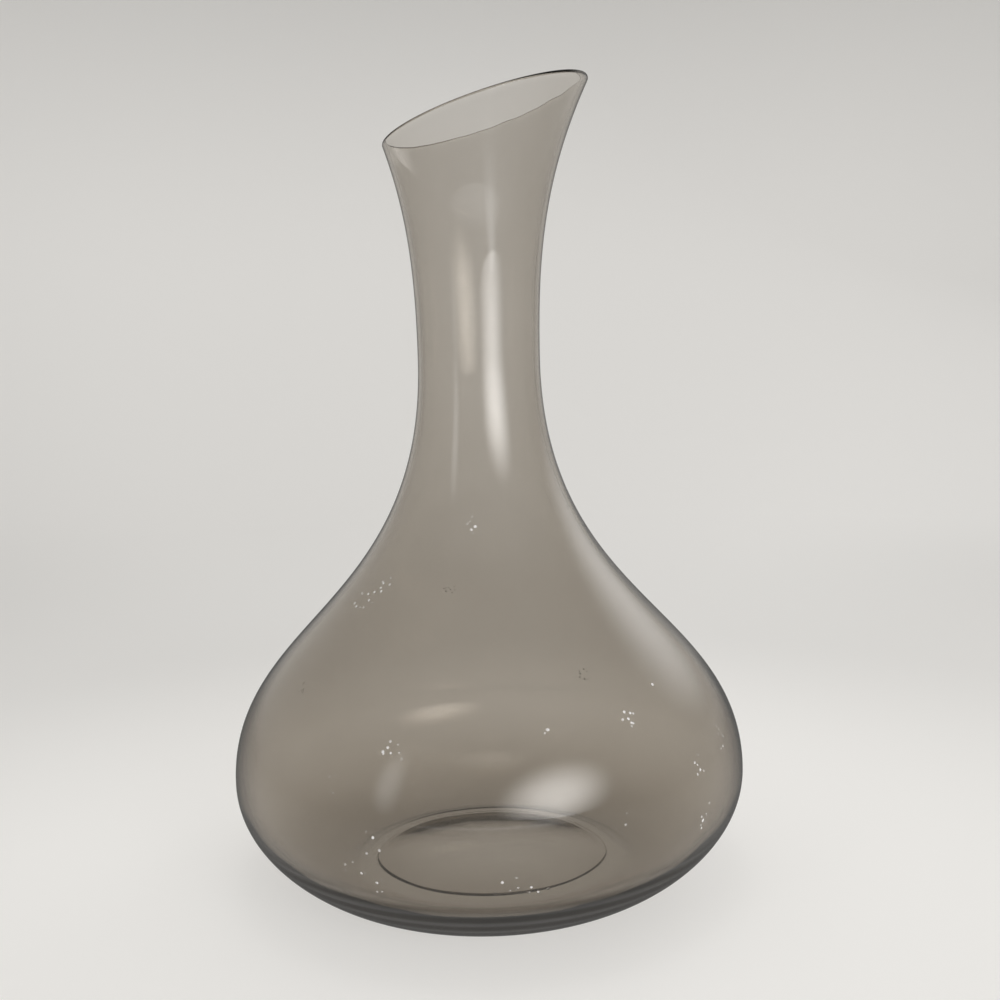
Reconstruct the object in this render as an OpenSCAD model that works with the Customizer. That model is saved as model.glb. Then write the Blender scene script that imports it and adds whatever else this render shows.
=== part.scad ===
// Slant-mouthed glass carafe: a wide low bowl, a long waisted neck and a flared mouth cut on a slope.
// The glass is one blown piece. It is drawn as seven zones that meet face to face: base, lower bowl, upper
// bowl, shoulder, lower neck, upper neck and lip. The vessel stands on the plane z = 0 with its axis on Z
// and its tall pouring lip towards +X.
// Every zone is turned from a section of two curves, the outside and the inside of the glass.

/* [Body] */
// Height of the tall side of the mouth
height = 294; // [262:1:360]
// Outside diameter at the widest level of the bowl
bowl_d = 190; // [150:1:240]
// Height of the bowl's widest level
bowl_z = 42; // [32:1:56]
// Outside diameter of the ring that the carafe stands on
foot_d = 108; // [88:1:132]
// Width of that ring, from its outer edge to the hollow under the glass
ring_w = 9.5; // [6:0.1:13]
// Outside diameter at the neck's narrowest level
neck_d = 45; // [36:1:56]
// Height of the neck's narrowest level
neck_z = 194; // [155:1:235]

/* [Mouth] */
// Outside diameter that the flare has at the full height
mouth_d = 85; // [68:1:104]
// Slope of the mouth's cut, in degrees from level
mouth_slope = 16.7; // [10:0.1:22]
// Lean of the flare's edge, in degrees from upright
flare_lean = 26; // [18:1:34]

/* [Glass] */
// Thickness of the glass at the bowl's widest level
bowl_wall = 2.6; // [2:0.1:3.6]
// Thickness of the glass at the neck's narrowest level
neck_wall = 1.9; // [1.5:0.1:2.6]
// Thickness of the glass at the mouth's edge
lip_wall = 1.7; // [1.4:0.1:2.2]
// Thickness of the glass over the standing ring
foot_wall = 3.2; // [2.6:0.1:4.4]
// Width of the thick heel, from the foot's outer edge in to where the inside starts to rise
heel_w = 5; // [3:0.1:5.5]

/* [Punt] */
// Height of the hollow pushed up into the underside, at its middle
punt_h = 5; // [4.6:0.1:7]
// Thickness of the glass at the middle of the hollow
punt_wall = 2.6; // [2.2:0.1:3.6]
// Height of the small step that the hollow's edge leaves on the inside
step_h = 1.2; // [0.6:0.1:1.6]
// Width of that step
step_w = 0.6; // [0.4:0.1:1]

/* [Hidden] */
glass_colour = [0.45, 0.43, 0.40, 0.55];
$fn = 96;

bowl_r = bowl_d / 2;
foot_r = foot_d / 2;
neck_r = neck_d / 2;
mouth_r = mouth_d / 2;
punt_r = foot_r - ring_w;
heel_r = foot_r - heel_w;

// Straight facets along one whole curve of the section
curve_steps = 40;
// How far each curve runs on along its end directions before it bends, as shares of its span
under_bowl_shares = [0.27, 0.60];
shoulder_shares = [0.368, 0.596];
flare_shares = [0.373, 0.389];
punt_shares = [0.333, 0.333];
// How much of its rise the punt still has where it is drawn towards its edge
punt_edge_share = 0.667;
// Where along its curve a zone ends, as a share of that curve's steps
base_share = 0.35;
bowl_share = 0.33;
shoulder_share = 0.65;
neck_share = 0.30;
// How far the flare runs on past the slanted cut
cut_over = 4;

// Point of a cubic curve through p[0] and p[3], drawn towards p[1] and p[2]
function along(p, t) =
    pow(1 - t, 3) * p[0] + 3 * pow(1 - t, 2) * t * p[1] + 3 * (1 - t) * pow(t, 2) * p[2] + pow(t, 3) * p[3];

// Direction of travel on that curve
function heading(p, t) =
    let (d = pow(1 - t, 2) * (p[1] - p[0]) + 2 * (1 - t) * t * (p[2] - p[1]) + pow(t, 2) * (p[3] - p[2]))
    d / norm(d);

// Points of a curve between two of its steps
function stretch(p, from, to) = [for (i = [from : to]) along(p, i / curve_steps)];

// The same stretch moved inwards by a wall that changes evenly from wall_a to wall_b along the whole curve
function stretch_inside(p, from, to, wall_a, wall_b) = [
    for (i = [from : to])
        let (t = i / curve_steps, u = heading(p, t))
        along(p, t) + (wall_a + (wall_b - wall_a) * t) * [-u[1], u[0]]
];

function reversed(points) = [for (i = [len(points) - 1 : -1 : 0]) points[i]];

// A point carried on past the end of a curve
function past_end(point, direction, by) = [point + by * direction];

function step_at(share) = round(share * curve_steps);

// Outside of the glass, from the standing ring up to the mouth
under_bowl_out = [
    [foot_r, 0],
    [foot_r + under_bowl_shares[0] * (bowl_r - foot_r), 0],
    [bowl_r, bowl_z * (1 - under_bowl_shares[1])],
    [bowl_r, bowl_z]
];
shoulder_out = [
    [bowl_r, bowl_z],
    [bowl_r, bowl_z + shoulder_shares[0] * (neck_z - bowl_z)],
    [neck_r, neck_z - shoulder_shares[1] * (neck_z - bowl_z)],
    [neck_r, neck_z]
];
flare_pull = flare_shares[1] * (height - neck_z);
flare_end = [sin(flare_lean), cos(flare_lean)];
flare_out = [
    [neck_r, neck_z],
    [neck_r, neck_z + flare_shares[0] * (height - neck_z)],
    [mouth_r, height] - flare_pull * flare_end,
    [mouth_r, height]
];

// Inside of the glass below the widest level, where the wall thickens into the heel
under_bowl_in = [
    [heel_r, foot_wall],
    [heel_r + under_bowl_shares[0] * (bowl_r - heel_r), foot_wall],
    [bowl_r - bowl_wall, bowl_z - under_bowl_shares[1] * (bowl_z - foot_wall)],
    [bowl_r - bowl_wall, bowl_z]
];

// The punt, from its middle out to its edge, under the glass and over it
function low_dome(edge_r, edge_z, top_z) = [
    [0, top_z],
    [punt_shares[0] * edge_r, top_z],
    [(1 - punt_shares[1]) * edge_r, edge_z + punt_edge_share * (top_z - edge_z)],
    [edge_r, edge_z]
];
punt_out = low_dome(punt_r, 0, punt_h);
punt_in = low_dome(punt_r - step_w, foot_wall + step_h, punt_h + punt_wall);
step_foot = [punt_r, foot_wall];

base_step = step_at(base_share);
bowl_step = step_at(bowl_share);
shoulder_step = step_at(shoulder_share);
neck_step = step_at(neck_share);

// A ring of glass between an outside and an inside line of points
module turned(outside, inside) {
    color(glass_colour)
        rotate_extrude()
            polygon(concat(outside, reversed(inside)));
}

// Bottom with the standing ring, the heel and the punt
module base() {
    turned(
        concat(stretch(punt_out, 0, curve_steps), stretch(under_bowl_out, 0, base_step)),
        concat(stretch(punt_in, 0, curve_steps), [step_foot], stretch(under_bowl_in, 0, base_step))
    );
}

// Underside of the bowl, from the base up to the widest level
module lower_bowl() {
    turned(
        stretch(under_bowl_out, base_step, curve_steps),
        stretch(under_bowl_in, base_step, curve_steps)
    );
}

// A stretch of the wall above the widest level
module upper_wall(from, to) {
    turned(
        stretch(shoulder_out, from, to),
        stretch_inside(shoulder_out, from, to, bowl_wall, neck_wall)
    );
}

// The bowl's upper side, from the widest level to where it draws in
module upper_bowl() {
    upper_wall(0, bowl_step);
}

// The slope between the bowl and the neck
module shoulder() {
    upper_wall(bowl_step, shoulder_step);
}

// Tube that narrows from the shoulder to the narrowest level
module lower_neck() {
    upper_wall(shoulder_step, curve_steps);
}

// Tube that widens again from the narrowest level
module upper_neck() {
    turned(
        stretch(flare_out, 0, neck_step),
        stretch_inside(flare_out, 0, neck_step, neck_wall, lip_wall)
    );
}

// Everything above the sloping plane of the mouth
module above_mouth() {
    reach = mouth_d + height;
    translate([mouth_r, 0, height])
        rotate([0, -mouth_slope, 0])
            translate([-reach, -reach / 2, 0])
                cube([reach + mouth_d, reach, reach]);
}

// The flare, cut on a slope so that its tall side pours
module lip() {
    outside = stretch(flare_out, neck_step, curve_steps);
    inside = stretch_inside(flare_out, neck_step, curve_steps, neck_wall, lip_wall);
    color(glass_colour)
        difference() {
            turned(
                concat(outside, past_end(outside[len(outside) - 1], flare_end, cut_over)),
                concat(inside, past_end(inside[len(inside) - 1], flare_end, cut_over))
            );
            above_mouth();
        }
}

base();
lower_bowl();
upper_bowl();
shoulder();
lower_neck();
upper_neck();
lip();
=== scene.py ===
"""Looks of a slant-mouthed glass carafe: one seamless mesh of smoked glass, a pale studio and a camera."""
import math

import bpy
import numpy as np
from mathutils import Matrix, Vector


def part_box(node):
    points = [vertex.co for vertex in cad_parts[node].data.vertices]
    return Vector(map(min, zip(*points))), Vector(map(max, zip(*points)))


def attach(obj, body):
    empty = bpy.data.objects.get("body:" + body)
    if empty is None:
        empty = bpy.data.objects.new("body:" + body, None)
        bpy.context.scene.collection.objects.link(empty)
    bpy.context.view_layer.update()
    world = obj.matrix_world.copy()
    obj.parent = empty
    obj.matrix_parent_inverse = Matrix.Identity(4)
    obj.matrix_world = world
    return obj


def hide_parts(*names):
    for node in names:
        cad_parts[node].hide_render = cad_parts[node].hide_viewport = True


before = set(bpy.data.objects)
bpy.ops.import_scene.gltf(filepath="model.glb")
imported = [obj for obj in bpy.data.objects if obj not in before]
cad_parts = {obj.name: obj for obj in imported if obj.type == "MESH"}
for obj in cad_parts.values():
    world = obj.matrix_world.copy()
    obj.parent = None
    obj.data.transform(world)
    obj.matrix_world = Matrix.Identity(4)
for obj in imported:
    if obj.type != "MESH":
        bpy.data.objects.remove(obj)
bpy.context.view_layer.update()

MM = 0.001

# Sizes of the glass that the frame's boxes give
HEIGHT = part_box("lip")[1].z
MOUTH_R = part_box("lip")[1].x
BOWL_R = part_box("lower_bowl")[1].x
BOWL_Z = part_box("lower_bowl")[1].z

# The other sizes of its section, the same as in the CAD model
FOOT_R = 54 * MM
RING_W = 9.5 * MM
PUNT_H = 5.0 * MM
PUNT_WALL = 2.6 * MM
FOOT_WALL = 3.2 * MM
STEP_H = 1.2 * MM
STEP_W = 0.6 * MM
HEEL_R = 49 * MM
BOWL_WALL = 2.6 * MM
NECK_WALL = 1.9 * MM
LIP_WALL = 1.7 * MM
NECK_R = 22.5 * MM
NECK_Z = 194 * MM
MOUTH_SLOPE = math.radians(16.7)
FLARE_LEAN = math.radians(26)
# In the mesh alone, the step at the punt's edge has its full height only in this direction. It falls to a
# lower one opposite, and it wavers so many times on the way round, by this share of the fall
STEP_TURN = math.radians(-115)
STEP_LOW_H = 0.3 * MM
STEP_WAVES = 5
STEP_WAVE = 0.15

# How far each curve of the section runs on along its end directions before it bends, as shares of its span
UNDER_BOWL_SHARES = (0.27, 0.60)
SHOULDER_SHARES = (0.368, 0.596)
FLARE_SHARES = (0.373, 0.389)
PUNT_SHARES = (0.333, 0.333)
# How much of its rise the punt still has where it is drawn towards its edge
PUNT_EDGE_RISE = 0.667
# How far the rounded step runs out and down from its top edge before it bends, as shares of its width and
# height, and how much of its height its steep side takes
STEP_TOP_SHARES = (0.5, 0.1)
STEP_SIDE_SHARE = 0.5

# Fineness of the mesh, and how often the search for the mouth's edge halves its range
AROUND = 192
PUNT_STEPS = 30
STEP_STEPS = 8
RING_STEPS = 4
UNDER_BOWL_STEPS = 40
SHOULDER_STEPS = 90
FLARE_STEPS = 50
EDGE_STEPS = 10
HALVINGS = 40

# The glass: how strongly a metre of it absorbs each colour, how many times the strongest of these its
# density is, which keeps its own colour above 0, and how strongly it bends light
GLASS_ABSORPTION = (152.0, 170.0, 196.0)
DENSITY_MARGIN = 1.02
GLASS_IOR = 1.5
# Painted shade on the rims: a dark coat that shows only where the outside of the glass turns away from the
# eye, so that its rims are dark, as in the photograph: what it lets through, how much of the glass it covers
# at most, and how far the glass has turned away (0 to 1) where it is full and where it starts: on the bowl,
# on the neck, on the mouth's polished edge, where it starts at once, and inside, where there is hardly any
RIM_SHADE_COLOUR = (0.45, 0.39, 0.31)
RIM_MOST = 0.78
RIM_FULL = 0.95
BOWL_RIM_FROM = 0.5
NECK_RIM_FROM = 0.72
EDGE_RIM_FROM = -0.3
INSIDE_RIM_FROM = 0.9
# Heights between which its start changes from the bowl's to the neck's
NECK_RIM_Z = (52 * MM, 90 * MM)
# The painted rim shade starts sooner on the thick heel, and soonest on level painted dark lines there: how
# much sooner on the whole, how much more than that on a line, the heights between which it comes and goes,
# the height of one line and the step between lines
HEEL_RIM_SOONER = 0.2
HEEL_LINE_SOONER = 0.24
HEEL_LOW_Z = (6 * MM, 10 * MM)
HEEL_HIGH_Z = (22 * MM, 32 * MM)
HEEL_LINE_Z = 23.5 * MM
HEEL_LINE_STEP = 5.2 * MM

# Depth of the blown glass's unevenness inside and outside, and the seeds of its random draws
INSIDE_RIPPLE = 0.30 * MM
OUTSIDE_RIPPLE = 0.06 * MM
INSIDE_SEED = 23
OUTSIDE_SEED = 11
# It has streaks up the wall: how many of each kind lie round it, how far they drift round, in radians for a
# metre of climb, their least and greatest size, and the power of their number that they shrink by
STREAKS = (2, 3, 5, 7, 9, 12, 17, 24)
STREAK_DRIFT = 25
STREAK_SIZES = (0.4, 1)
STREAK_POWER = 0.5
# It has slow waves up the wall too: radians for a metre of climb, the least and the greatest lean round it,
# in radians, and their size
WAVES = (55, 90, 190)
WAVE_LEANS = (1, 2)
WAVE_SIZE = 0.3
# It dies away towards the axis, the standing ring and the mouth: the radius and the heights that this takes
CALM_R = 20 * MM
CALM_FOOT_Z = 1 * MM
CALM_FOOT_H = 12 * MM
CALM_MOUTH_H = 15 * MM
# Rings that the tools left inside the heel: their depth, the height that they reach, the mean step between
# them, and how they rise and fall on the way round: how often, and by how many radians of their own wave
HEEL_WAVE = 0.22 * MM
HEEL_WAVE_TOP = 22 * MM
HEEL_WAVE_STEP = 1.6 * MM
HEEL_WAVE_BENDS = ((1, 0.8), (3, 0.5))

# Dried drops on the outside of the glass: how far apart they can be, how far from its middle each starts to
# thin out and ends, as shares of that, how much of the light still passes through them, and their height
DROP_STEP = 2.0 * MM
DROP_SHARES = (0.15, 0.35)
DROP_CLEAR = 0.2
DROP_H = 0.03 * MM
# The splashes that they lie in: degrees round the axis, height and reach of each
SPLASHES = (
    (-146, 110 * MM, 4 * MM),
    (-141, 113 * MM, 5 * MM),
    (-136, 116 * MM, 4 * MM),
    (-95, 137 * MM, 3 * MM),
    (-111, 72 * MM, 4.5 * MM),
    (-122, 62 * MM, 3.5 * MM),
    (-113, 48 * MM, 3 * MM),
    (-113, 44 * MM, 4 * MM),
    (-118, 37 * MM, 3 * MM),
    (-116, 34 * MM, 3 * MM),
    (-113, 31 * MM, 3 * MM),
    (-87, 33 * MM, 4 * MM),
    (-82, 31 * MM, 3 * MM),
    (-58, 78.5 * MM, 3 * MM),
    (-56, 77.5 * MM, 3 * MM),
    (-77, 76.5 * MM, 3 * MM),
    (-45, 84 * MM, 2.5 * MM),
    (-42, 58 * MM, 4 * MM),
    (-30, 64 * MM, 3 * MM),
    (-29, 60 * MM, 3 * MM),
    (-43, 40 * MM, 3 * MM),
    (-41, 44 * MM, 3 * MM),
    (-64, 50 * MM, 2.5 * MM),
    (25, 90 * MM, 4 * MM),
    (62, 52 * MM, 4 * MM),
    (104, 96 * MM, 4 * MM),
    (150, 60 * MM, 4 * MM),
)
# Where a splash starts to thin out, and where it has ended, as shares of its reach
SPLASH_FADE = (0.4, 1.2)

# The studio is one round shell: a flat floor that sweeps up into a wall and closes overhead. The power
# crowds the floor's rings towards the middle
FLOOR_R = 1.1
FLOOR_RINGS = 300
FLOOR_POWER = 2
SWEEP_R = 0.7
SWEEP_STEPS = 16
STUDIO_TOP = 2.5
FLOOR_DROP = 0.1 * MM
STUDIO_COLOUR = (0.42, 0.417, 0.41)
STUDIO_ROUGHNESS = 0.8
# It glows softly by itself, and this glow paints light and shade: how strongly, and the share of that on the
# floor close round the carafe, a painted pool of light, in the painted shade under its bowl, at the sides
# and the front, and overhead, with the distances, directions (degrees from straight behind) and heights of
# each change
GLOW_COLOUR = (1.0, 0.98, 0.945)
GLOW = 0.43
NEAR_SHARE = 1.3
NEAR_R = (0.13, 0.42)
SHADE_SHARE = 0.95
SHADE_R = (0.06, 0.12)
SIDE_SHARE = 0.7
SIDE_TURN = (18, 60)
SIDE_R = (0.3, 0.9)
TOP_SHARE = 0.35
TOP_Z = (0.3, 1.4)
# The soft lights: where each one is, the point it faces, its width and height, its power, the angle that
# its light spreads over, its turn about its own direction (both in degrees), and whether it shows through
# the glass as well as reflected on it
MIDDLE = (0, 0, 0.15)
LIGHTS = {
    "top_light": ((0, -0.1, 1.9), MIDDLE, (0.9, 0.9), 7, 180, 0, True),
    "window": ((0.62, -1.2, 0.4), MIDDLE, (1.5, 1.1), 19, 140, 20, True),
    "window_on_floor": ((0.5, -1.03, 0.08), (0.442, -0.942, 1.08), (0.4, 1.5), 4, 180, 0, False),
    "front_floor": ((0, -0.9, 0.003), (0, -0.8, 2), (2.2, 1), 6, 180, 0, False),
    "right_light": ((0.98, 0.93, 0.8), MIDDLE, (1.7, 1.3), 12.5, 180, 0, False),
    "left_light": ((-0.92, -0.95, 0.55), MIDDLE, (0.4, 1.2), 2.8, 180, 0, False),
}
# The middle of a light, in its own widths, and how far from it the light starts to fade and has faded away
LIGHT_MIDDLE = (0.5, 0.5, 0)
LIGHT_FADE = (0.05, 0.5)

# The photograph's camera, in the frame's axes, and the least distance at which it sees things
CAMERA_AT = Vector((0.0, -440.6, 191.3)) * MM
CAMERA_PITCH = math.radians(-6.46)
CAMERA_YAW = math.radians(0.84)
CAMERA_ROLL = math.radians(-1.45)
CAMERA_NEAREST = 10 * MM
SENSOR_WIDTH = 36.0
FOCAL_SHARE = 1.187

# The section's curves: the ends of each, and between them the two points that it is drawn towards
PUNT_R = FOOT_R - RING_W
UNDER_BOWL_OUT = (
    (FOOT_R, 0),
    (FOOT_R + UNDER_BOWL_SHARES[0] * (BOWL_R - FOOT_R), 0),
    (BOWL_R, BOWL_Z * (1 - UNDER_BOWL_SHARES[1])),
    (BOWL_R, BOWL_Z),
)
UNDER_BOWL_IN = (
    (HEEL_R, FOOT_WALL),
    (HEEL_R + UNDER_BOWL_SHARES[0] * (BOWL_R - HEEL_R), FOOT_WALL),
    (BOWL_R - BOWL_WALL, BOWL_Z - UNDER_BOWL_SHARES[1] * (BOWL_Z - FOOT_WALL)),
    (BOWL_R - BOWL_WALL, BOWL_Z),
)
SHOULDER_OUT = (
    (BOWL_R, BOWL_Z),
    (BOWL_R, BOWL_Z + SHOULDER_SHARES[0] * (NECK_Z - BOWL_Z)),
    (NECK_R, NECK_Z - SHOULDER_SHARES[1] * (NECK_Z - BOWL_Z)),
    (NECK_R, NECK_Z),
)
FLARE_PULL = FLARE_SHARES[1] * (HEIGHT - NECK_Z)
FLARE_OUT = (
    (NECK_R, NECK_Z),
    (NECK_R, NECK_Z + FLARE_SHARES[0] * (HEIGHT - NECK_Z)),
    (MOUTH_R - FLARE_PULL * math.sin(FLARE_LEAN), HEIGHT - FLARE_PULL * math.cos(FLARE_LEAN)),
    (MOUTH_R, HEIGHT),
)
PUNT_TOP = PUNT_H + PUNT_WALL
PUNT_OUT = (
    (0, PUNT_H),
    (PUNT_SHARES[0] * PUNT_R, PUNT_H),
    ((1 - PUNT_SHARES[1]) * PUNT_R, PUNT_EDGE_RISE * PUNT_H),
    (PUNT_R, 0),
)

# The direction of each point of a ring, round the axis
turn = np.linspace(0, 2 * math.pi, AROUND, endpoint=False)


def smooth_step(value, low, high):
    """0 up to low and 1 from high on, with a soft change between."""
    t = np.clip((value - low) / (high - low), 0, 1)
    return t * t * (3 - 2 * t)


def towards(share, amount):
    """1 where amount is 0, and share where amount is 1."""
    return 1 + (share - 1) * amount


def shares_of(steps):
    """Even shares of a whole in so many steps, from the first step's up to 1."""
    return np.arange(1, steps + 1) / steps


def cubic(points, t):
    """Points of a cubic curve at t, with the curve's own direction there."""
    p = np.asarray(points, float)
    t = np.asarray(t, float)[..., None]
    s = 1 - t
    place = s**3 * p[0] + 3 * s**2 * t * p[1] + 3 * s * t**2 * p[2] + t**3 * p[3]
    way = s**2 * (p[1] - p[0]) + 2 * s * t * (p[2] - p[1]) + t**2 * (p[3] - p[2])
    return place, way / np.linalg.norm(way, axis=-1, keepdims=True)


def inwards(way):
    """The direction across the wall, from the outside of the glass to the inside."""
    return np.stack([-way[..., 1], way[..., 0]], axis=-1)


def flare_wall(t):
    """Thickness of the glass along the flare."""
    return NECK_WALL + (LIP_WALL - NECK_WALL) * t


def mouth_end():
    """Where along the flare the glass ends, for each direction round the axis: its round edge just
    touches the sloping plane of the mouth."""
    low, high = np.zeros(AROUND), np.ones(AROUND)
    for _ in range(HALVINGS):
        t = (low + high) / 2
        place, way = cubic(FLARE_OUT, t)
        half = flare_wall(t) / 2
        middle = place + half[:, None] * inwards(way)
        over = (middle[:, 1] - HEIGHT) * math.cos(MOUTH_SLOPE)
        over -= (middle[:, 0] * np.cos(turn) - MOUTH_R) * math.sin(MOUTH_SLOPE)
        low = np.where(over < -half, t, low)
        high = np.where(over < -half, high, t)
    return low


# That end of the glass, in each direction
ends = mouth_end()


def ripple(ring, seed):
    """Unevenness of blown glass over a ring of points, from -1 to 1: long streaks that drift as they climb,
    and slow waves up the wall."""
    draw = np.random.default_rng(seed)
    total, most = np.zeros(AROUND), 0
    for streaks in STREAKS:
        start = draw.uniform(0, 2 * math.pi)
        drift = draw.uniform(-STREAK_DRIFT, STREAK_DRIFT)
        size = draw.uniform(*STREAK_SIZES) / streaks**STREAK_POWER
        total += size * np.sin(streaks * turn + start + drift * ring[:, 1])
        most += size
    for waves in WAVES:
        start = draw.uniform(0, 2 * math.pi)
        lean = draw.integers(*WAVE_LEANS, endpoint=True)
        total += WAVE_SIZE * np.sin(waves * ring[:, 1] + start + lean * np.sin(turn + start))
        most += WAVE_SIZE
    return total / most


def heel_wave(ring):
    """Fine rings low inside the bowl, from 0 to 1, closer together towards the floor of the vessel."""
    rise = np.clip((ring[:, 1] - FOOT_WALL) / HEEL_WAVE_TOP, 0, 1)
    turns = np.sqrt(rise) * HEEL_WAVE_TOP / HEEL_WAVE_STEP
    bend = sum(size * np.sin(times * turn) for times, size in HEEL_WAVE_BENDS)
    return (1 - rise) * (1 - np.cos(2 * math.pi * turns + bend)) / 2


def flat_ring(place):
    """One place of the section carried round the axis unchanged."""
    return np.tile(place, (AROUND, 1))


def curve_rings(curve, shares):
    """Rings of (radius, height) along a curve of the section, each with its directions across the wall."""
    places, ways = cubic(curve, shares)
    return [(flat_ring(place), flat_ring(inwards(way))) for place, way in zip(places, ways)]


def level_rings(shares, out_to, height):
    """The same on the level, at these shares of the way from the punt's edge out to a radius."""
    radii = PUNT_R + shares * (out_to - PUNT_R)
    return [(flat_ring((radius, height)), flat_ring((0, 1))) for radius in radii]


def outside_rings():
    """All the rings under and up the outside of the glass, from the middle of the punt to the mouth."""
    rings = curve_rings(PUNT_OUT, shares_of(PUNT_STEPS))
    rings += level_rings(shares_of(RING_STEPS), FOOT_R, 0)
    rings += curve_rings(UNDER_BOWL_OUT, shares_of(UNDER_BOWL_STEPS))
    rings += curve_rings(SHOULDER_OUT, shares_of(SHOULDER_STEPS))
    for share in shares_of(FLARE_STEPS):
        place, way = cubic(FLARE_OUT, share * ends)
        rings.append((place, inwards(way)))
    return rings


def punt_inside(step_h):
    """The step at the punt's edge and the glass over the punt, for this height of the step."""
    top, edge_r = FOOT_WALL + step_h, PUNT_R - STEP_W
    step = (
        (edge_r, top),
        (edge_r + STEP_TOP_SHARES[0] * STEP_W, top - STEP_TOP_SHARES[1] * step_h),
        (PUNT_R, top - STEP_SIDE_SHARE * step_h),
        (PUNT_R, FOOT_WALL),
    )
    dome = (
        (0, PUNT_TOP),
        (PUNT_SHARES[0] * edge_r, PUNT_TOP),
        ((1 - PUNT_SHARES[1]) * edge_r, top + PUNT_EDGE_RISE * (PUNT_TOP - top)),
        (edge_r, top),
    )
    return step, dome


def punt_inside_rings():
    """The rings over the punt, from its edge in to its middle. Each is a blend of the high step's and the
    low step's, as far as its direction asks."""
    low = (1 - np.cos(turn - STEP_TURN)) / 2 + STEP_WAVE * np.sin(STEP_WAVES * turn)
    low = np.clip(low, 0, 1)[:, None]
    rings = []
    steps_of_each = (STEP_STEPS, PUNT_STEPS)
    for high_curve, low_curve, steps in zip(punt_inside(STEP_H), punt_inside(STEP_LOW_H), steps_of_each):
        t = shares_of(steps)[::-1]
        for high_place, low_place, way in zip(cubic(high_curve, t)[0], *cubic(low_curve, t)):
            rings.append(((1 - low) * high_place + low * low_place, flat_ring(inwards(way))))
    return rings


def inside_rings():
    """All the rings of the inside of the glass, from the mouth down to the middle of the punt."""
    rings = []
    for share in shares_of(FLARE_STEPS)[::-1]:
        t = share * ends
        place, way = cubic(FLARE_OUT, t)
        across = inwards(way)
        rings.append((place + flare_wall(t)[:, None] * across, across))
    for t in shares_of(SHOULDER_STEPS)[::-1]:
        place, way = cubic(SHOULDER_OUT, t)
        across = inwards(way)
        wall = BOWL_WALL + (NECK_WALL - BOWL_WALL) * t
        rings.append((flat_ring(place + wall * across), flat_ring(across)))
    rings += curve_rings(UNDER_BOWL_IN, shares_of(UNDER_BOWL_STEPS)[::-1])
    rings += level_rings(shares_of(RING_STEPS)[::-1], HEEL_R, FOOT_WALL)
    return rings + punt_inside_rings()


def edge_rings():
    """The fire-polished edge of the mouth, a half round from the outside of the glass to the inside."""
    place, way = cubic(FLARE_OUT, ends)
    across = inwards(way)
    half = flare_wall(ends)[:, None] / 2
    middle = place + half * across
    rings = []
    for step in range(1, EDGE_STEPS):
        angle = math.pi * step / EDGE_STEPS
        rings.append(middle + half * (math.sin(angle) * way - math.cos(angle) * across))
    return rings


def rippled(rings, depth, seed, heel_depth):
    """Rings moved inwards by the ripple, which dies away at the axis, the standing ring and the mouth, and
    by the heel's own fine rings."""
    moved = []
    for ring, across in rings:
        radius, height = ring.T
        mouth = HEIGHT - (MOUTH_R - radius * np.cos(turn)) * math.tan(MOUTH_SLOPE)
        calm = np.minimum(1, radius / CALM_R) * np.clip((height - CALM_FOOT_Z) / CALM_FOOT_H, 0, 1)
        calm *= np.clip((mouth - height) / CALM_MOUTH_H, 0, 1)
        by = depth * calm * (1 + ripple(ring, seed)) / 2
        by += heel_depth * heel_wave(ring) * (radius > HEEL_R)
        moved.append(ring + by[:, None] * across)
    return moved


def ring_mesh(name, rings, points):
    """A smooth mesh from rings of points, with one point more to close its first ring and one its last."""
    here = np.arange(AROUND)
    after = (here + 1) % AROUND
    first, last = rings * AROUND, rings * AROUND + 1
    faces = []
    for low in range(0, (rings - 1) * AROUND, AROUND):
        high = low + AROUND
        faces += np.stack([low + here, low + after, high + after, high + here], axis=1).tolist()
    top = (rings - 1) * AROUND
    faces += [(first, after[i], here[i]) for i in here]
    faces += [(last, top + here[i], top + after[i]) for i in here]
    mesh = bpy.data.meshes.new(name)
    mesh.from_pydata(points.tolist(), [], faces)
    mesh.update()
    mesh.shade_smooth()
    return mesh


def give_points(mesh, name, values):
    """Gives each point of the mesh its own number, which the material reads by this name."""
    mesh.attributes.new(name, "FLOAT", "POINT").data.foreach_set("value", values)


def rim_shade_starts(height):
    """How far the outside has turned away from the eye where the painted rim shade starts, at these heights.
    """
    start = BOWL_RIM_FROM + (NECK_RIM_FROM - BOWL_RIM_FROM) * smooth_step(height, *NECK_RIM_Z)
    heel = smooth_step(height, *HEEL_LOW_Z) * (1 - smooth_step(height, *HEEL_HIGH_Z))
    lines = np.cos(2 * math.pi * (height - HEEL_LINE_Z) / HEEL_LINE_STEP)
    return start - heel * (HEEL_RIM_SOONER + HEEL_LINE_SOONER * lines)


def splashed(radius, height):
    """How thickly dried splashes lie at each point of these rings, from 0 to 1."""
    most = np.zeros_like(radius)
    for around, level, reach in SPLASHES:
        aside = (turn - math.radians(around) + math.pi) % (2 * math.pi) - math.pi
        away = np.hypot(radius * aside, height - level)
        most = np.maximum(most, 1 - smooth_step(away, SPLASH_FADE[0] * reach, SPLASH_FADE[1] * reach))
    return most


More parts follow.
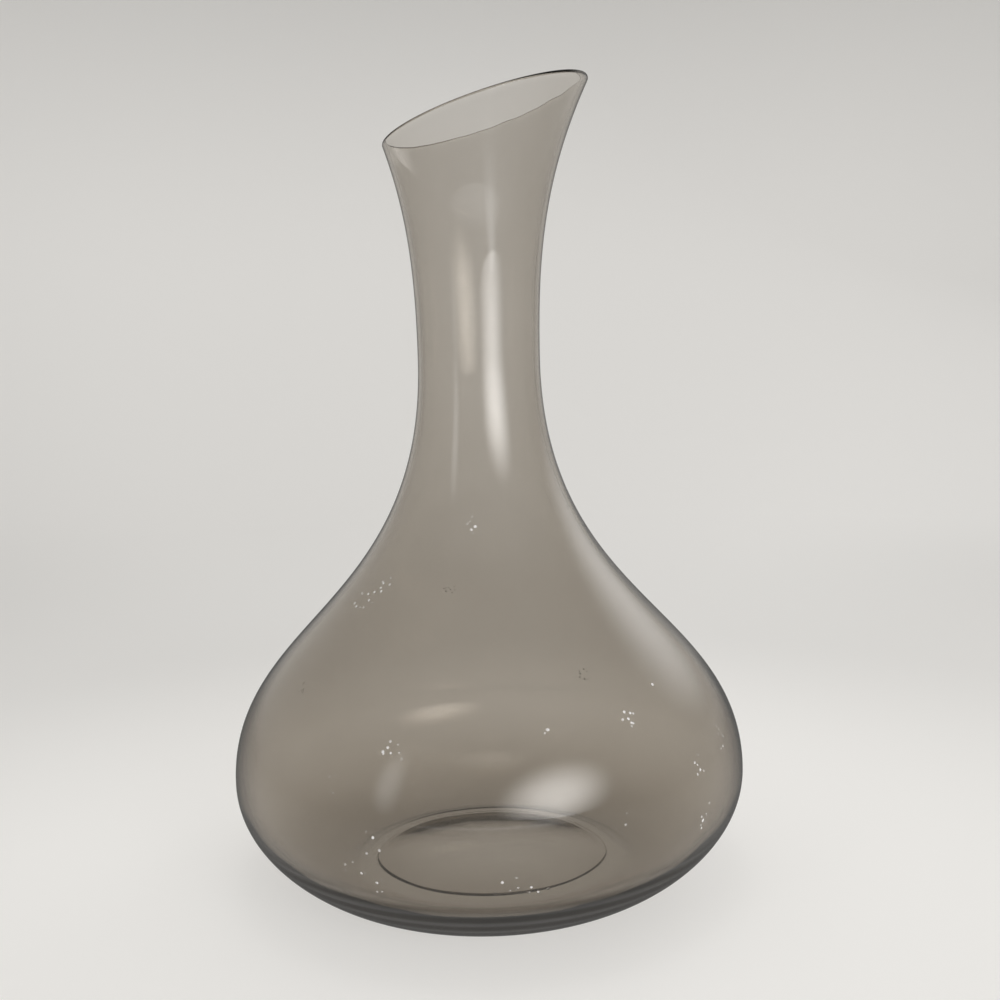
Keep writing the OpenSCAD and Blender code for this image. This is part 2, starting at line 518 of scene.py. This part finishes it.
def vessel():
    """The whole carafe as one closed mesh."""
    outside = rippled(outside_rings(), OUTSIDE_RIPPLE, OUTSIDE_SEED, 0)
    edge = edge_rings()
    inside = rippled(inside_rings(), INSIDE_RIPPLE, INSIDE_SEED, HEEL_WAVE)
    rings = np.array(outside + edge + inside)
    radius, height = rings[..., 0], rings[..., 1]
    points = np.stack([radius * np.cos(turn), radius * np.sin(turn), height], axis=-1).reshape(-1, 3)
    points = np.vstack([points, (0, 0, PUNT_H), (0, 0, PUNT_TOP)])
    mesh = ring_mesh("carafe_glass", len(rings), points)

    # Where the painted shade on the rims starts at each point, soonest on the heel's painted dark lines
    rim_shade_from = rim_shade_starts(height)
    rim_shade_from[len(outside):] = EDGE_RIM_FROM
    rim_shade_from[len(outside) + len(edge):] = INSIDE_RIM_FROM
    give_points(mesh, "rim_shade_from", np.append(rim_shade_from, (BOWL_RIM_FROM, INSIDE_RIM_FROM)))
    splashes = splashed(radius, height)
    splashes[len(outside):] = 0
    give_points(mesh, "splashes", np.append(splashes, (0, 0)))

    piece = bpy.data.objects.new("carafe_glass", mesh)
    bpy.context.scene.collection.objects.link(piece)
    return piece


def map_range(nodes, low, high, out_low, out_high):
    """A soft change from out_low to out_high while the value goes from low to high."""
    change = nodes.new("ShaderNodeMapRange")
    change.interpolation_type = "SMOOTHSTEP"
    for socket, value in (("From Min", low), ("From Max", high), ("To Min", out_low), ("To Max", out_high)):
        change.inputs[socket].default_value = value
    return change


def painted_rim_shade(nodes, links):
    """How much of the glass the painted rim shade covers: it grows from where the mesh says that it starts.
    """
    facing = nodes.new("ShaderNodeLayerWeight")
    rim_shade_from = nodes.new("ShaderNodeAttribute")
    rim_shade_from.attribute_name = "rim_shade_from"
    shade_weight = map_range(nodes, BOWL_RIM_FROM, RIM_FULL, 0.0, RIM_MOST)
    links.new(rim_shade_from.outputs["Fac"], shade_weight.inputs["From Min"])
    links.new(facing.outputs["Facing"], shade_weight.inputs["Value"])
    return shade_weight.outputs["Result"]


def dried_drops(nodes, links):
    """1 on small drops where the splashes are, and 0 between them."""
    place = nodes.new("ShaderNodeTexCoord")
    cells = nodes.new("ShaderNodeTexVoronoi")
    cells.inputs["Scale"].default_value = 1 / DROP_STEP
    links.new(place.outputs["Object"], cells.inputs["Vector"])
    drop = map_range(nodes, *DROP_SHARES, 1.0, 0.0)
    links.new(cells.outputs["Distance"], drop.inputs["Value"])
    splashes = nodes.new("ShaderNodeAttribute")
    splashes.attribute_name = "splashes"
    drops = nodes.new("ShaderNodeMath")
    drops.operation = "MULTIPLY"
    links.new(drop.outputs["Result"], drops.inputs[0])
    links.new(splashes.outputs["Fac"], drops.inputs[1])
    return drops.outputs["Value"]


def smoked_glass():
    """Clear grey glass: it is tinted through its whole thickness, so thick places are darker. Its coat is
    painted shade on the rims, which tints light without bending it."""
    material = bpy.data.materials.new("smoked_glass")
    material.use_nodes = True
    nodes, links = material.node_tree.nodes, material.node_tree.links
    nodes.clear()
    output = nodes.new("ShaderNodeOutputMaterial")
    surface = nodes.new("ShaderNodeBsdfPrincipled")
    surface.inputs["Base Color"].default_value = (1, 1, 1, 1)
    surface.inputs["IOR"].default_value = GLASS_IOR
    surface.inputs["Roughness"].default_value = 0.0
    surface.inputs["Coat IOR"].default_value = 1.0
    surface.inputs["Coat Roughness"].default_value = 0.0
    # The coat paints shade on the rims: its dark tint, as much as the Layer Weight asks
    surface.inputs["Coat Tint"].default_value = (*RIM_SHADE_COLOUR, 1)
    links.new(painted_rim_shade(nodes, links), surface.inputs["Coat Weight"])
    drops = dried_drops(nodes, links)
    clear = map_range(nodes, 0.0, 1.0, 1.0, DROP_CLEAR)
    links.new(drops, clear.inputs["Value"])
    links.new(clear.outputs["Result"], surface.inputs["Transmission Weight"])
    bump = nodes.new("ShaderNodeBump")
    bump.inputs["Distance"].default_value = DROP_H
    links.new(drops, bump.inputs["Height"])
    links.new(bump.outputs["Normal"], surface.inputs["Normal"])
    links.new(surface.outputs["BSDF"], output.inputs["Surface"])
    body = nodes.new("ShaderNodeVolumeAbsorption")
    density = DENSITY_MARGIN * max(GLASS_ABSORPTION)
    body.inputs["Color"].default_value = (*(1 - a / density for a in GLASS_ABSORPTION), 1)
    body.inputs["Density"].default_value = density
    links.new(body.outputs["Volume"], output.inputs["Volume"])
    return material


def glow_at(points):
    """How strongly the studio's shell glows at each of these points, with a painted pool of light close
    round the carafe and painted shade under its bowl.
    """
    x, y, z = points.T
    away = np.hypot(x, y)
    # A painted pool of light on the floor close round the carafe
    near = 1 - smooth_step(away, *NEAR_R)
    side = smooth_step(np.degrees(np.arctan2(np.abs(x), y)), *SIDE_TURN) * smooth_step(away, *SIDE_R)
    over = smooth_step(z, *TOP_Z)
    # Painted shade on the floor under the bowl, outside the punt
    shade = (1 - smooth_step(away, *SHADE_R)) * (away > PUNT_R)
    glow = GLOW * towards(NEAR_SHARE, near) * towards(SIDE_SHARE, side) * towards(TOP_SHARE, over)
    return glow * towards(SHADE_SHARE, shade)


def studio_material():
    """The pale inside of the studio, which glows as strongly as the shell's own attribute says."""
    material = bpy.data.materials.new("pale_studio")
    material.use_nodes = True
    nodes, links = material.node_tree.nodes, material.node_tree.links
    surface = nodes["Principled BSDF"]
    surface.inputs["Base Color"].default_value = (*STUDIO_COLOUR, 1)
    surface.inputs["Roughness"].default_value = STUDIO_ROUGHNESS
    surface.inputs["Specular IOR Level"].default_value = 0.0
    surface.inputs["Emission Color"].default_value = (*GLOW_COLOUR, 1)
    glow = nodes.new("ShaderNodeAttribute")
    glow.attribute_name = "glow"
    links.new(glow.outputs["Fac"], surface.inputs["Emission Strength"])
    return material


def studio():
    """A pale floor that sweeps up into a round wall and closes overhead."""
    floor_r = FLOOR_R * shares_of(FLOOR_RINGS) ** FLOOR_POWER
    quarter = np.linspace(0, math.pi / 2, SWEEP_STEPS + 1)[1:]
    wall_r = FLOOR_R + SWEEP_R
    radius = np.concatenate([floor_r, FLOOR_R + SWEEP_R * np.sin(quarter), wall_r * np.cos(quarter[:-1])])
    height = np.concatenate([0 * floor_r, SWEEP_R * (1 - np.cos(quarter)),
                             SWEEP_R + (STUDIO_TOP - SWEEP_R) * np.sin(quarter[:-1])])
    points = np.stack([np.outer(radius, np.cos(turn)), np.outer(radius, np.sin(turn)),
                       np.outer(height, np.ones(AROUND))], axis=-1).reshape(-1, 3)
    points = np.vstack([points, (0, 0, 0), (0, 0, STUDIO_TOP)])
    mesh = ring_mesh("floor", len(radius), points - (0, 0, FLOOR_DROP))
    give_points(mesh, "glow", glow_at(points))
    floor = bpy.data.objects.new("floor", mesh)
    bpy.context.scene.collection.objects.link(floor)
    mesh.materials.append(studio_material())


def soft_light(name, at, aim, size, power, spread, roll, through_glass):
    """A soft light that fades towards its edges and isn't itself seen by the camera. One that doesn't show
    through glass is only reflected by it."""
    lamp = bpy.data.lights.new(name, "AREA")
    lamp.shape = "RECTANGLE"
    lamp.size, lamp.size_y = size
    lamp.energy = power
    lamp.spread = math.radians(spread)
    lamp.use_nodes = True
    nodes, links = lamp.node_tree.nodes, lamp.node_tree.links
    place = nodes.new("ShaderNodeNewGeometry")
    from_middle = nodes.new("ShaderNodeVectorMath")
    from_middle.operation = "DISTANCE"
    from_middle.inputs[1].default_value = LIGHT_MIDDLE
    links.new(place.outputs["Parametric"], from_middle.inputs[0])
    fade = map_range(nodes, *LIGHT_FADE, 1.0, 0.0)
    links.new(from_middle.outputs["Value"], fade.inputs["Value"])
    links.new(fade.outputs["Result"], nodes["Emission"].inputs["Strength"])
    holder = bpy.data.objects.new(name, lamp)
    bpy.context.scene.collection.objects.link(holder)
    holder.location = at
    facing = (Vector(aim) - Vector(at)).to_track_quat("-Z", "Y").to_matrix()
    holder.rotation_euler = (facing @ Matrix.Rotation(math.radians(roll), 3, "Z")).to_euler()
    holder.visible_camera = False
    holder.visible_transmission = through_glass


def lights():
    """All the soft lights, in air that gives no light of its own."""
    for name, values in LIGHTS.items():
        soft_light(name, *values)
    world = bpy.data.worlds.new("studio_air")
    world.use_nodes = True
    world.node_tree.nodes["Background"].inputs["Color"].default_value = (1, 1, 1, 1)
    world.node_tree.nodes["Background"].inputs["Strength"].default_value = 0.0
    bpy.context.scene.world = world


def photograph_camera():
    """The camera at the photograph's place and angle."""
    yaw, pitch, roll = CAMERA_YAW, CAMERA_PITCH, CAMERA_ROLL
    ahead = Vector((math.sin(yaw) * math.cos(pitch), math.cos(yaw) * math.cos(pitch), math.sin(pitch)))
    right = Vector((math.cos(yaw), -math.sin(yaw), 0))
    up = right.cross(ahead)
    right, up = math.cos(roll) * right + math.sin(roll) * up, math.cos(roll) * up - math.sin(roll) * right
    camera = bpy.data.cameras.new("camera")
    camera.sensor_width = SENSOR_WIDTH
    camera.lens = FOCAL_SHARE * SENSOR_WIDTH
    camera.clip_start = CAMERA_NEAREST
    holder = bpy.data.objects.new("camera", camera)
    bpy.context.scene.collection.objects.link(holder)
    turned = Matrix((right, up, -ahead)).transposed().to_4x4()
    holder.matrix_world = Matrix.Translation(CAMERA_AT) @ turned
    bpy.context.scene.camera = holder


carafe = vessel()
carafe.data.materials.append(smoked_glass())
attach(carafe, "root")
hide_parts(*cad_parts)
studio()
lights()
photograph_camera()
bpy.context.scene.view_settings.view_transform = "Standard"
